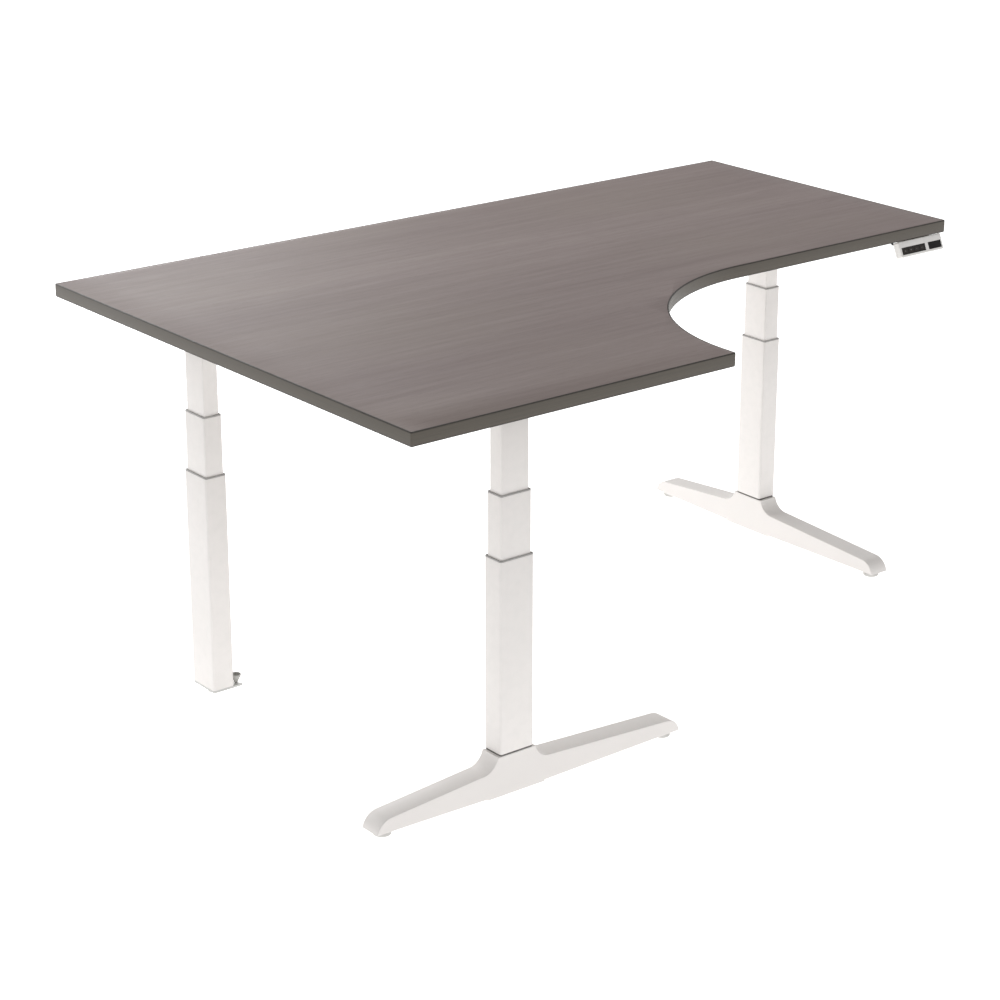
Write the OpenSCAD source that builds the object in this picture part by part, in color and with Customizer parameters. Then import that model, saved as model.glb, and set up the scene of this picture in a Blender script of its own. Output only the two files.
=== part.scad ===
// Height adjustable L-shaped standing desk: a wide board with a return on its left,
// a curved inner corner, and three motor-driven legs of three telescoping tubes each.
// Origin: middle of the footprint, on the floor. +X along the back edge, +Y to the back.

/* [Desktop] */
// Length of the back edge
desk_w = 1828.8; // [1750:0.1:1900]
// Length of the left edge, from the back to the end of the return
desk_d = 1225; // [1215:1:1240]
// Depth of the right-hand side
side_d = 768; // [755:1:780]
// Width of the return
return_w = 760; // [750:1:770]
// Radius of the inner corner
curve_r = 433; // [420:1:440]
// Thickness of the board
board_t = 27; // [25:0.1:30]
// Thickness of the strip glued round the edge
band_t = 3; // [1:0.5:3]

/* [Heights at rest] */
// Work surface above the floor
rest_h = 833; // [825:1:840]
// Top of the outer tubes, with their collars
outer_top = 487; // [480:1:495]
// Top of the middle tubes, with their collars
mid_top = 614.2; // [608:0.1:620]
// How far each stage can close from here
stage_down = 111.5; // [100:0.5:112]
// How far each stage can still open from here
stage_up = 213.5; // [200:0.5:214]

/* [Legs] */
// Long side of the outer tube
tube_l = 80; // [78:1:84]
// Short side of the outer tube
tube_w = 50; // [50:1:54]
// Corner radius of the outer tube
tube_r = 5; // [4.5:0.5:6]
// Step from one tube to the next, per side
tube_step = 3.6; // [3.4:0.1:3.8]
// Wall of the tubes
tube_wall = 1.7; // [1.5:0.1:1.9]
// Visible height of the plastic collars
collar_h = 3; // [2:0.5:5]
// Length of a collar's guide sleeve inside its tube
sleeve_h = 40; // [30:1:60]
// Outer face of the corner and right legs, in from the side edges
side_inset = 112.5; // [110:0.5:130]
// Front face of the front leg, in from the end of the return
front_inset = 122; // [115:0.5:130]
// Leg axes from the back edge, or from the left edge for the front leg
leg_back = 332.5; // [325:0.5:340]

/* [Feet] */
// Column axis to the tip of the short arm
arm_short = 332; // [320:1:332]
// Column axis to the tip of the long arm
arm_long = 421; // [410:1:430]
// Top of the hub above the floor
hub_h = 88.1; // [86:0.1:94]
// Radius of the sweep from the hub into the arms
hub_sweep = 38; // [34:1:42]
// Top of the arms where they leave the hub
arm_top = 59; // [56:1:62]
// Radius of the rounded tips
nose_r = 37; // [34:0.5:39]
// Underside of the tips above the floor
tip_z = 12; // [11.5:0.5:13]
// Radius of the levelling glides
glide_r = 18; // [13:1:19]

/* [Handset] */
// Width of the handset
set_w = 134; // [130:1:140]
// Height of its sloping face
set_h = 36; // [34:1:40]
// Thickness of the housing
set_t = 18; // [16:1:20]
// Slope of the face from upright
set_tilt = 23; // [15:1:30]
// Right-hand end of the handset, in from the desk's right edge
set_inset = 9; // [6:1:40]

/* [Underframe] */
// Thickness of the steel brackets
plate_t = 4; // [3:0.5:4]
// Width of a rail
rail_w = 40; // [35:1:45]
// Height of a rail
rail_h = 25; // [20:1:25]
// Distance of each rail's axis from the leg axis
rail_off = 75; // [72:1:80]
// Height of the drive housings
drive_h = 40; // [38:1:44]
// Radius of the motors
motor_r = 22; // [18:1:23]
// Diameter of the cables
cable_d = 5; // [4:0.5:5]

/* [Hidden] */

$fn = 64;
slip = 0.4;                       // gap between a collar and the tube that slides in it
cut = 1;                          // how far a cutting solid runs past a face
under_z = rest_h - board_t;       // underside of the board
frame_z = under_z - plate_t;      // underside of the brackets
x_left = -desk_w / 2;
y_back = desk_d / 2;
curve_c = [x_left + return_w + curve_r, y_back - side_d - curve_r];

// each leg: [axis, turn about Z, side its motor is on]
corner_leg = [[x_left + side_inset + tube_w / 2, y_back - leg_back], -90, 1];
right_leg = [[-corner_leg[0][0], corner_leg[0][1]], -90, -1];
front_leg = [[x_left + leg_back, -y_back + front_inset + tube_w / 2], 0, 1];

column_seat = 3.5;                // thickness of the plate between hub and column
base_t = 4.9;                     // thickness of the corner leg's base plate
base_z = 13;                      // its underside above the floor
tube_floor = 35;                  // lowest point a middle tube may reach
mid_bottom = tube_floor + stage_down;
nut_floor_t = 6;                  // plate across the foot of the middle tube
inner_bottom = mid_bottom + nut_floor_t + stage_down + 2;
socket_h = 12;                    // how far the inner tube enters the drive housing
drive_z = frame_z - drive_h;
web_t = 3;                        // bearing web above that socket
wheel_r = 15;                     // gear wheel on the spindle
spindle_r = 6;
spindle_end = inner_bottom;
nut_z = spindle_end + stage_up + 12;
bearing_gap = 0.05;               // running clearance of a shaft, per side
motor_z = frame_z - motor_r - 4;   // axis of the motors
motor_start = tube_w / 2 + 6;     // its front face, from the leg axis
motor_parts = [6, 100, 12];       // lengths of its flange, body and end cap
cap_r = motor_r - 3;

control_l = 240;                  // control box: length, width, height and middle
control_w = 100;
control_h = 38;
control_x = 85;
control_y = corner_leg[0][1];
control_wall = 2;

bore_r = 2.2;                     // pilot holes for the wood screws
screw_r = 2;
bolt_r = 3;
bolt_gap = 0.2;
screw_depth = 18;
tab_t = 3;                        // feet of the control box and of the handset

wood_head = [4.5, 2.4];           // radius and height of the wood screws' heads
bolt_head = [6, 3];               // and of the rail bolts' heads

bracket_l = 560;
bracket_w = 100;
plate_x0 = corner_leg[0][0] - 60; // left edge of the corner leg's plate
corner_plate = [front_leg[0][0] + rail_off + 25 - plate_x0, 300];
corner_plate_at = [plate_x0, corner_leg[0][1] + 110 - corner_plate[1]];
edge_gap = 12;                    // screws in from the edges of that plate
back_row = corner_plate[1] - 8;   // its back row of screws, clear of the rail
rail_end = 45;                    // rails run this far past the leg axes

set_x = desk_w / 2 - set_inset - set_w / 2;
set_y = y_back - side_d + 5;
set_z = under_z - 2;
shell_t = 12;                     // depth of the front half of the handset's housing
window_h = 16.5;
window_t = 2;
window_z = -22.6;                 // middle of the windows, down the face
window_face = 0.8;                // they sit this far back from the face
window_gap = 0.15;
keypad_x = [-set_w / 2 + 4.5, -set_w / 2 + 79];
display_x = [set_w / 2 - 45.5, set_w / 2 - 4.5];
button_w = 14;
button_h = 10;

inlet_size = [12, 28, 20];
high_z = under_z - 8;             // cables run here, clipped under the board
low_z = frame_z - rail_h - 4;     // and here where they pass under a rail
box_x0 = control_x - control_l / 2;
box_x1 = control_x + control_l / 2;
lane = 15;                        // between cables that run side by side
dip_y0 = control_y - rail_off - rail_w / 2 - 10;
dip_y1 = control_y - rail_off + rail_w / 2 + 10;
set_cable_x = 300;
set_lane_y = set_y + 62;
set_exit = [set_x - 52, set_y + 8, under_z - 16];

column_z = hub_h + column_seat;
glide_in = [29.5, 28];              // glides in from the short arm's tip and the long arm's
glide_xs = [-arm_short + glide_in[0], arm_long - glide_in[1]];
stem_r = 4;
stem_top = 30;

// ---------------------------------------------------------------- helpers

module rounded_rect(size, r) {
  square([size[0] - 2 * r, size[1]], center = true);
  square([size[0], size[1] - 2 * r], center = true);
  for (sx = [-1, 1], sy = [-1, 1])
    translate([sx * (size[0] / 2 - r), sy * (size[1] / 2 - r)]) circle(r);
}

// section of tube number n: 0 is the outer tube, 1 the middle one, 2 the inner one
function tube_size(n) = [tube_l - 2 * n * tube_step, tube_w - 2 * n * tube_step];
function tube_round(n) = tube_r - n * 0.8;

module section(n, grow = 0) {
  size = tube_size(n);
  rounded_rect([size[0] + 2 * grow, size[1] + 2 * grow], tube_round(n) + grow);
}

module at_leg(leg) {
  translate([leg[0][0], leg[0][1], 0]) rotate([0, 0, leg[1]]) children();
}

module telescope_tube(n, z0, z1) {
  translate([0, 0, z0]) linear_extrude(z1 - z0) difference() {
    section(n);
    section(n, -tube_wall);
  }
}

// collar on tube n: a rim on the tube's end, and a guide sleeve inside it
module collar(n, top) {
  sleeve_gap = 0.1;
  translate([0, 0, top - collar_h]) linear_extrude(collar_h) difference() {
    section(n);
    section(n + 1, slip);
  }
  translate([0, 0, top - collar_h - sleeve_h]) linear_extrude(sleeve_h) difference() {
    section(n, -tube_wall - sleeve_gap);
    section(n + 1, slip);
  }
}

// ---------------------------------------------------------------- desktop

// outline of the top, drawn in by the given distance
module top_outline(inset) {
  fill = 5;
  difference() {
    union() {
      translate([x_left + inset, y_back - side_d + inset])
        square([desk_w - 2 * inset, side_d - 2 * inset]);
      translate([x_left + inset, y_back - desk_d + inset])
        square([return_w - 2 * inset, desk_d - 2 * inset]);
      translate([x_left + return_w - inset - fill, curve_c[1]])
        square([curve_r + inset + fill, curve_r + inset + fill]);
    }
    translate(curve_c) circle(curve_r + inset, $fn = 180);
  }
}

module desktop_board() {
  color([0.56, 0.53, 0.51]) difference() {
    translate([0, 0, under_z]) linear_extrude(board_t) top_outline(band_t);
    for (p = wood_screw_points())
      translate([p[0], p[1], under_z - cut]) cylinder(h = screw_depth + cut, r = bore_r, $fn = 24);
  }
}

module edge_band() {
  color([0.42, 0.38, 0.34]) translate([0, 0, under_z]) linear_extrude(board_t) difference() {
    top_outline(0);
    top_outline(band_t);
  }
}

// ---------------------------------------------------------------- underframe

// holes through each bracket for the wood screws, and for the bolts into the rails
screw_rows = [-30, 30];
screw_steps = [-230, -150, 150, 230];
function front_screws() = [for (x = screw_steps, y = screw_rows) front_leg[0] + [x, y]];
function right_screws() = [for (y = screw_steps, x = screw_rows) right_leg[0] + [x, y]];
function corner_screws() = [
  for (p = [
    [edge_gap, edge_gap], [edge_gap, 150], [edge_gap, back_row],
    [200, back_row], [343, back_row], [100, 30]
  ]) corner_plate_at + p];
function control_screws() = [for (sx = [-1, 1], sy = [-1, 1])
  [control_x + sx * (control_l / 2 + 9), control_y + sy * 30]];
function handset_screws() = [for (sx = [-1, 1]) [set_x + sx * 32, set_y + 40]];
function wood_screw_points() =
  concat(front_screws(), right_screws(), corner_screws(), control_screws(), handset_screws());

function rail_bolts() = concat(
  [for (s = [-1, 1], x = [corner_leg[0][0] + 8, front_leg[0][0] + 80, right_leg[0][0]])
    [x, corner_leg[0][1] + s * rail_off]],
  [for (s = [-1, 1], y = [corner_leg[0][1] - rail_off - 50, front_leg[0][1]])
    [front_leg[0][0] + s * rail_off, y]]);

module bracket_holes(points, r) {
  for (p = points) translate([p[0], p[1], frame_z - cut]) cylinder(h = plate_t + 2 * cut, r = r, $fn = 24);
}

module bracket(size, at) {
  translate([at[0], at[1], frame_z]) linear_extrude(plate_t)
    translate(size / 2) rounded_rect(size, 8);
}

module corner_bracket() {
  color([0.9, 0.89, 0.88]) difference() {
    bracket(corner_plate, corner_plate_at);
    bracket_holes(corner_screws(), bore_r);
    bracket_holes(rail_bolts(), bolt_r + bolt_gap);
  }
}

module front_bracket() {
  size = [bracket_l, bracket_w];
  color([0.9, 0.89, 0.88]) difference() {
    bracket(size, front_leg[0] - size / 2);
    bracket_holes(front_screws(), bore_r);
    bracket_holes(rail_bolts(), bolt_r + bolt_gap);
  }
}

module right_bracket() {
  size = [bracket_w, bracket_l];
  color([0.9, 0.89, 0.88]) difference() {
    bracket(size, right_leg[0] - size / 2);
    bracket_holes(right_screws(), bore_r);
    bracket_holes(rail_bolts(), bolt_r + bolt_gap);
  }
}

// hollow rail from one corner to the other, lying along X or Y
module rail(at, size, along_x) {
  wall = 2;
  translate([at[0], at[1], frame_z - rail_h]) difference() {
    cube([size[0], size[1], rail_h]);
    if (along_x)
      translate([-cut, wall, wall]) cube([size[0] + 2 * cut, size[1] - 2 * wall, rail_h - 2 * wall]);
    else
      translate([wall, -cut, wall]) cube([size[0] - 2 * wall, size[1] + 2 * cut, rail_h - 2 * wall]);
  }
}

module rail_bolt_holes() {
  for (p = rail_bolts())
    translate([p[0], p[1], frame_z - rail_h - cut])
      cylinder(h = rail_h + 2 * cut, r = bolt_r + bolt_gap, $fn = 24);
}

module long_rails() {
  x0 = corner_leg[0][0] - rail_end;
  x1 = right_leg[0][0] + rail_end;
  color([0.88, 0.87, 0.86]) difference() {
    for (s = [-1, 1])
      rail([x0, corner_leg[0][1] + s * rail_off - rail_w / 2], [x1 - x0, rail_w], true);
    rail_bolt_holes();
  }
}

module return_rails() {
  y0 = front_leg[0][1] - rail_end;
  y1 = corner_leg[0][1] - rail_off - rail_w / 2;
  color([0.88, 0.87, 0.86]) difference() {
    for (s = [-1, 1])
      rail([front_leg[0][0] + s * rail_off - rail_w / 2, y0], [rail_w, y1 - y0], false);
    rail_bolt_holes();
  }
}

// fastener put in from below: its head sits under z, its shank reaches up from there
module screw(at, z, head, reach, r) {
  translate([at[0], at[1], z - head[1]]) {
    cylinder(h = head[1], r = head[0], $fn = 32);
    cylinder(h = head[1] + reach, r = r, $fn = 32);
  }
}

// wood screws hold brackets, control box and handset; bolts hold the rails
module frame_screws() {
  color([0.55, 0.55, 0.56]) {
    for (p = concat(front_screws(), right_screws(), corner_screws()))
      screw(p, frame_z, wood_head, plate_t + screw_depth - 1, screw_r);
    for (p = concat(control_screws(), handset_screws()))
      screw(p, under_z - tab_t, wood_head - [0.5, 0], tab_t + screw_depth - 1, screw_r);
    for (p = rail_bolts())
      screw(p, frame_z - rail_h, bolt_head, rail_h + plate_t - 0.2, bolt_r);
  }
}

// ---------------------------------------------------------------- control box and cables

module control_box() {
  color([0.2, 0.2, 0.21]) difference() {
    union() {
      translate([control_x - control_l / 2, control_y - control_w / 2, under_z - control_h])
        cube([control_l, control_w, control_h]);
      for (s = [-1, 1])
        translate([control_x + s * (control_l / 2 + 8) - 9, control_y - 40, under_z - tab_t])
          cube([18, 80, tab_t]);
    }
    translate([control_x - control_l / 2 + control_wall, control_y - control_w / 2 + control_wall,
      under_z - control_h - cut])
      cube([control_l - 2 * control_wall, control_w - 2 * control_wall, control_h - control_wall + cut]);
    for (p = control_screws())
      translate([p[0], p[1], under_z - tab_t - cut]) cylinder(h = tab_t + 2 * cut, r = bore_r, $fn = 24);
    inlet_shape(0);
  }
}

module control_box_lid() {
  rim = 4;
  color([0.26, 0.26, 0.27]) {
    translate([control_x - control_l / 2, control_y - control_w / 2, under_z - control_h - control_wall])
      cube([control_l, control_w, control_wall]);
    translate([control_x, control_y, under_z - control_h]) linear_extrude(rim) difference() {
      square([control_l - 2 * control_wall - 0.4, control_w - 2 * control_wall - 0.4], center = true);
      square([control_l - 4 * control_wall, control_w - 4 * control_wall], center = true);
    }
  }
}

// socket for the mains lead, in the box's right-hand end
module inlet_shape(shrink) {
  translate([control_x + control_l / 2 - 6, control_y + 26, under_z - 20])
    cube(inlet_size - [0, 2 * shrink, 2 * shrink], center = true);
}

module power_inlet() {
  color([0.08, 0.08, 0.09]) translate([2, 0, 0]) difference() {
    inlet_shape(0.1);
    translate([control_x + control_l / 2, control_y + 26, under_z - 20]) difference() {
      cube([12, 23, 15], center = true);
      for (y = [-6, 0, 6]) translate([-2.4, y, 0]) cube([7.2, 1.6, 5], center = true);
    }
  }
}

// round cable through a list of points, with every run along an axis
module cable(points) {
  r = cable_d / 2;
  for (i = [0 : len(points) - 2]) {
    a = points[i];
    run = points[i + 1] - a;
    tilt = abs(run[2]) > 0 ? [run[2] > 0 ? 0 : 180, 0, 0]
      : abs(run[0]) > 0 ? [0, run[0] > 0 ? 90 : -90, 0]
      : [run[1] > 0 ? -90 : 90, 0, 0];
    translate(a) rotate(tilt) cylinder(h = norm(run), r = r, $fn = 24);
  }
  for (i = [1 : len(points) - 2]) translate(points[i]) sphere(r + 0.05, $fn = 24);
}

// one cable from the end cap of each motor to the control box
module motor_cables() {
  out = motor_start + motor_parts[0] + motor_parts[1] + motor_parts[2] / 2;
  cx = corner_leg[0][0] + out;
  rx = right_leg[0][0] - out;
  fy = front_leg[0][1] + out;
  fx = front_leg[0][0];
  side_z = motor_z + sqrt(pow(cap_r, 2) - pow(lane - cable_d / 2, 2));
  top_z = motor_z + cap_r;
  color([0.1, 0.1, 0.1]) {
    cable([[cx, control_y + lane, side_z], [cx, control_y + lane, high_z],
      [box_x0, control_y + lane, high_z]]);
    cable([[rx, control_y, top_z], [rx, control_y, high_z], [box_x1, control_y, high_z]]);
    cable([[fx, fy, top_z], [fx, fy, high_z], [fx, dip_y0, high_z], [fx, dip_y0, low_z],
      [fx, dip_y1, low_z], [fx, dip_y1, high_z], [box_x0, dip_y1, high_z]]);
  }
}

module handset_cable() {
  turn_y = set_y + 34;
  color([0.1, 0.1, 0.1])
    cable([set_exit, [set_exit[0], turn_y, set_exit[2]], [set_exit[0], turn_y, high_z],
      [set_exit[0], set_lane_y, high_z], [set_cable_x, set_lane_y, high_z],
      [set_cable_x, dip_y0, high_z], [set_cable_x, dip_y0, low_z], [set_cable_x, dip_y1, low_z],
      [set_cable_x, dip_y1, high_z], [box_x1, dip_y1, high_z]]);
}

// saddle over a cable that runs along X or Y
module clip(at, along_x) {
  wide = cable_d + 5;
  rise = under_z - high_z;
  translate([at[0], at[1], high_z]) rotate([0, 0, along_x ? 0 : 90]) difference() {
    translate([-4, -wide / 2, -cable_d / 2 - 2]) cube([8, wide, rise + cable_d / 2 + 2]);
    translate([-4 - cut, -cable_d / 2 - 0.1, -cable_d / 2 - 0.1])
      cube([8 + 2 * cut, cable_d + 0.2, rise + cable_d / 2 + cut]);
  }
}

module cable_clips() {
  color([0.85, 0.85, 0.85]) {
    for (x = [-420, -280, -140]) clip([x, control_y + lane], true);
    for (x = [-380, -240, -100]) clip([x, dip_y1], true);
    for (x = [320, 450]) clip([x, control_y], true);
    for (y = [-270, -150, -30, 70]) clip([front_leg[0][0], y], false);
    for (x = [420, 580, 740]) clip([x, set_lane_y], true);
    for (y = [-20, 80]) clip([set_cable_x, y], false);
  }
}

// ---------------------------------------------------------------- handset

// local frame on the handset: X along it, Y into it, Z up the sloping face
module on_handset() {
  translate([set_x, set_y, set_z]) rotate([-set_tilt, 0, 0]) children();
}

module face_block(x, z, h, y0, y1) {
  translate([x[0], y0, z - h / 2]) cube([x[1] - x[0], y1 - y0, h]);
}

module handset_plate(y0, y1, inset) {
  translate([0, y1, -set_h / 2]) rotate([90, 0, 0]) linear_extrude(y1 - y0)
    rounded_rect([set_w - 2 * inset, set_h - 2 * inset], 3.5 - inset);
}

module handset_housing() {
  wall = 2.4;
  color([0.83, 0.82, 0.81]) on_handset() difference() {
    handset_plate(0, shell_t, 0);
    face_block(keypad_x, window_z, window_h, -cut, shell_t + cut);
    face_block(display_x, window_z, window_h, -cut, shell_t + cut);
    translate([0, wall, 0]) intersection() {
      handset_plate(0, shell_t + cut, wall);
      face_block([-set_w, set_w], -set_h / 2, set_h, 0.6, shell_t + cut);
    }
  }
}

module handset_back() {
  foot_w = 90;
  foot_y = set_y + 13;
  foot_d = 34;
  block = 12;                     // depth and height of the block that joins foot and housing
  color([0.8, 0.79, 0.78]) difference() {
    union() {
      on_handset() handset_plate(shell_t, set_t, 0);
      translate([set_x - foot_w / 2, foot_y, under_z - block]) cube([foot_w, block, block]);
      translate([set_x - foot_w / 2, foot_y, under_z - tab_t]) cube([foot_w, foot_d, tab_t]);
    }
    for (p = handset_screws())
      translate([p[0], p[1], under_z - tab_t - cut]) cylinder(h = tab_t + 2 * cut, r = bore_r, $fn = 24);
    translate(set_exit) rotate([-90, 0, 0]) cylinder(h = foot_d, r = cable_d / 2 + 0.1, $fn = 24);
  }
}

function button_x(i) = keypad_x[0] + 10.5 + i * 17.8;
module keypad_window() {
  edge = [keypad_x[0] + window_gap, keypad_x[1] - window_gap];
  hole = 0.3;
  color([0.15, 0.14, 0.13]) on_handset() difference() {
    face_block(edge, window_z, window_h - 2 * window_gap, window_face, window_face + window_t);
    for (i = [0 : 3])
      face_block([button_x(i) - button_w / 2 - hole, button_x(i) + button_w / 2 + hole],
        window_z, button_h + 2 * hole, 0, 6);
  }
}

module display_window() {
  edge = [display_x[0] + window_gap, display_x[1] - window_gap];
  color([0.02, 0.02, 0.02]) on_handset()
    face_block(edge, window_z, window_h - 2 * window_gap, window_face, window_face + window_t);
}

// key with a wider foot behind the window that stops it falling out
module button(i) {
  key = [button_x(i) - button_w / 2, button_x(i) + button_w / 2];
  foot = [key[0] - 1.2, key[1] + 1.2];
  color([0.2, 0.19, 0.18]) on_handset() {
    face_block(key, window_z, button_h, 0.1, window_face + window_t + 1.5);
    face_block(foot, window_z, button_h + 2, window_face + window_t + 0.3, window_face + window_t + 2);
  }
}

// ---------------------------------------------------------------- legs

module inner_tube(leg) {
  color([0.9, 0.89, 0.88]) at_leg(leg) telescope_tube(2, inner_bottom, drive_z + socket_h);
}

module mid_tube(leg) {
  color([0.91, 0.9, 0.89]) at_leg(leg) telescope_tube(1, mid_bottom, mid_top - collar_h);
}

module outer_tube(leg, bottom) {
  color([0.92, 0.91, 0.9]) at_leg(leg) telescope_tube(0, bottom, outer_top - collar_h);
}

module mid_collar(leg) {
  color([0.62, 0.61, 0.6]) at_leg(leg) collar(1, mid_top);
}

module outer_collar(leg) {
  color([0.62, 0.61, 0.6]) at_leg(leg) collar(0, outer_top);
}

// cast gear housing: the tube enters from below, the spindle's bearing web is above it
module drive_housing(leg) {
  size = [tube_l + 16, tube_w + 12];
  roof = 4;
  wheel_room = drive_h - socket_h - web_t - roof;
  color([0.3, 0.3, 0.31]) at_leg(leg) difference() {
    translate([0, 0, drive_z]) linear_extrude(drive_h) rounded_rect(size, 8);
    translate([0, 0, drive_z - cut]) linear_extrude(socket_h + cut) section(2, 0.05);
    translate([0, 0, drive_z - cut])
      cylinder(h = socket_h + web_t + 2 * cut, r = spindle_r + bearing_gap);
    translate([0, 0, drive_z + socket_h + web_t]) cylinder(h = wheel_room, r = wheel_r + 5);
  }
}

module motor(leg) {
  color([0.16, 0.16, 0.17]) at_leg(leg) translate([0, leg[2] * motor_start, motor_z])
    rotate([-leg[2] * 90, 0, 0]) {
      cylinder(h = motor_parts[0], r = motor_r - 1);
      translate([0, 0, motor_parts[0]]) cylinder(h = motor_parts[1], r = motor_r);
      translate([0, 0, motor_parts[0] + motor_parts[1]]) cylinder(h = motor_parts[2], r = cap_r);
    }
}

// screw that turns below the gear wheel, inside the inner tube
module spindle(leg) {
  wheel_z = drive_z + socket_h + web_t + 2;
  wheel_h = 12;
  stub = 4;                       // the shaft stands this far above the wheel
  color([0.6, 0.6, 0.62]) at_leg(leg) {
    translate([0, 0, spindle_end])
      cylinder(h = wheel_z + wheel_h + stub - spindle_end, r = spindle_r);
    translate([0, 0, wheel_z]) cylinder(h = wheel_h, r = wheel_r);
  }
}

// nut on a pillar that stands on a plate across the foot of the middle tube
module spindle_nut(leg) {
  pillar_r = 13;
  bore = spindle_r + bearing_gap;
  color([0.75, 0.68, 0.45]) at_leg(leg) difference() {
    union() {
      translate([0, 0, mid_bottom]) linear_extrude(nut_floor_t) section(1, -tube_wall - 0.05);
      translate([0, 0, mid_bottom]) cylinder(h = nut_z - mid_bottom, r = pillar_r);
    }
    translate([0, 0, mid_bottom + nut_floor_t]) cylinder(h = nut_z - mid_bottom, r = bore);
    translate([0, 0, mid_bottom + nut_floor_t])
      cylinder(h = nut_z - mid_bottom - nut_floor_t - 20, r = spindle_r + 3);
  }
}

// ---------------------------------------------------------------- feet

// side view of a foot: the long arm points to +X, the column stands on X = 0
module foot_profile() {
  hub_x = tube_l / 2 + 5;
  pad_x = 70;
  pad_z = 4;
  arm_z = 7;
  sweep_x = hub_x + hub_sweep;
  nose_z = tip_z - 7;
  nose_top = nose_z + nose_r;
  difference() {
    union() {
      polygon([
        [-pad_x, pad_z], [pad_x, pad_z], [pad_x, arm_z],
        [arm_long - nose_r, tip_z], [arm_long - nose_r, nose_top],
        [sweep_x, arm_top], [sweep_x, hub_h], [-sweep_x, hub_h], [-sweep_x, arm_top],
        [-arm_short + nose_r, nose_top], [-arm_short + nose_r, tip_z], [-pad_x, arm_z]
      ]);
      intersection() {
        translate([arm_long - nose_r, nose_z]) circle(nose_r);
        translate([arm_long - nose_r, tip_z]) square(nose_r + cut);
      }
      intersection() {
        translate([-arm_short + nose_r, nose_z]) circle(nose_r);
        translate([-arm_short - cut, tip_z]) square(nose_r + cut);
      }
    }
    for (s = [-1, 1]) translate([s * sweep_x, arm_top + hub_sweep]) circle(hub_sweep);
  }
}

module foot(leg) {
  well_grow = 0.9;
  color([0.9, 0.89, 0.88]) at_leg(leg) difference() {
    rotate([90, 0, 0]) linear_extrude(tube_w, center = true) foot_profile();
    translate([0, 0, tube_floor - 6]) linear_extrude(hub_h) section(1, well_grow);
    for (x = glide_xs) translate([x, 0, 0]) cylinder(h = stem_top + 3, r = stem_r + bearing_gap);
  }
}

module column_plate(leg) {
  color([0.1, 0.1, 0.1]) at_leg(leg) translate([0, 0, hub_h]) linear_extrude(column_seat) difference() {
    section(0, -1);
    section(1, 0.9);
  }
}

module glide(x, y, disc_r, disc_h, neck_top) {
  color([0.72, 0.72, 0.71]) translate([x, y, 0]) {
    cylinder(h = disc_h, r = disc_r);
    cylinder(h = neck_top, r = 8);
    cylinder(h = stem_top, r = stem_r);
  }
}

module foot_glide(leg, i) {
  at_leg(leg) glide(glide_xs[i], 0, glide_r, 8, tip_z - 1.2);
}

// ---------------------------------------------------------------- corner leg's base

// plate under the corner column, with a tapered tongue along its front edge that carries the funnel
module corner_base() {
  tongue = [20, 20];              // reach past the column, and depth where it starts
  tip = 4;                        // depth at its end
  color([0.7, 0.7, 0.69]) translate([corner_leg[0][0], corner_leg[0][1], base_z]) difference() {
    linear_extrude(base_t) union() {
      rounded_rect([tube_w, tube_l], tube_r);
      translate([tube_w / 2, -tube_l / 2]) polygon([
        [-tube_r, 0], [tongue[0], 0], [tongue[0], tip], [tongue[0] - 6, tongue[1]], [-tube_r, tongue[1]]
      ]);
    }
    translate([0, 0, -cut]) cylinder(h = base_t + 2 * cut, r = stem_r + bearing_gap);
  }
}

module corner_glide() {
  translate([corner_leg[0][0], corner_leg[0][1], 0]) glide(0, 0, 13, 7, base_z - 1);
}

// flared cup beside the column that guides a lead to the floor
module cord_funnel() {
  cup_r = 11;
  foot_r = 2.6;
  rise = 20;
  wall = 1.6;
  rim = 2.5;                      // height of the upright rim
  at = corner_leg[0] + [tube_w / 2 + cup_r + 0.2, cup_r - tube_l / 2];
  color([0.6, 0.6, 0.59]) translate([at[0], at[1], base_z + base_t]) rotate_extrude()
    polygon([
      [0, 0], [foot_r, 0], [cup_r, rise - rim], [cup_r, rise],
      [cup_r - wall, rise], [cup_r - wall, rise - rim], [foot_r - 1, wall], [0, wall]
    ]);
}

// ---------------------------------------------------------------- all pieces

desktop_board();
edge_band();
corner_bracket();
front_bracket();
right_bracket();
long_rails();
return_rails();
control_box();
control_box_lid();
power_inlet();
motor_cables();
handset_cable();
cable_clips();
frame_screws();
handset_housing();
handset_back();
keypad_window();
display_window();
button(0);  // up_button
button(1);  // down_button
button(2);  // memory_button_1
button(3);  // memory_button_2
inner_tube(corner_leg);  // corner_inner_tube
inner_tube(front_leg);  // front_inner_tube
inner_tube(right_leg);  // right_inner_tube
drive_housing(corner_leg);  // corner_drive_housing
drive_housing(front_leg);  // front_drive_housing
drive_housing(right_leg);  // right_drive_housing
motor(corner_leg);  // corner_motor
motor(front_leg);  // front_motor
motor(right_leg);  // right_motor
spindle(corner_leg);  // corner_spindle
spindle(front_leg);  // front_spindle
spindle(right_leg);  // right_spindle
mid_tube(corner_leg);  // corner_mid_tube
mid_tube(front_leg);  // front_mid_tube
mid_tube(right_leg);  // right_mid_tube
mid_collar(corner_leg);  // corner_mid_collar
mid_collar(front_leg);  // front_mid_collar
mid_collar(right_leg);  // right_mid_collar
spindle_nut(corner_leg);  // corner_spindle_nut
spindle_nut(front_leg);  // front_spindle_nut
spindle_nut(right_leg);  // right_spindle_nut
outer_tube(corner_leg, base_z + base_t);  // corner_outer_tube
outer_tube(front_leg, column_z);  // front_outer_tube
outer_tube(right_leg, column_z);  // right_outer_tube
outer_collar(corner_leg);  // corner_outer_collar
outer_collar(front_leg);  // front_outer_collar
outer_collar(right_leg);  // right_outer_collar
foot(front_leg);  // front_foot
foot(right_leg);  // right_foot
column_plate(front_leg);  // front_column_plate
column_plate(right_leg);  // right_column_plate
corner_base();
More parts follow.
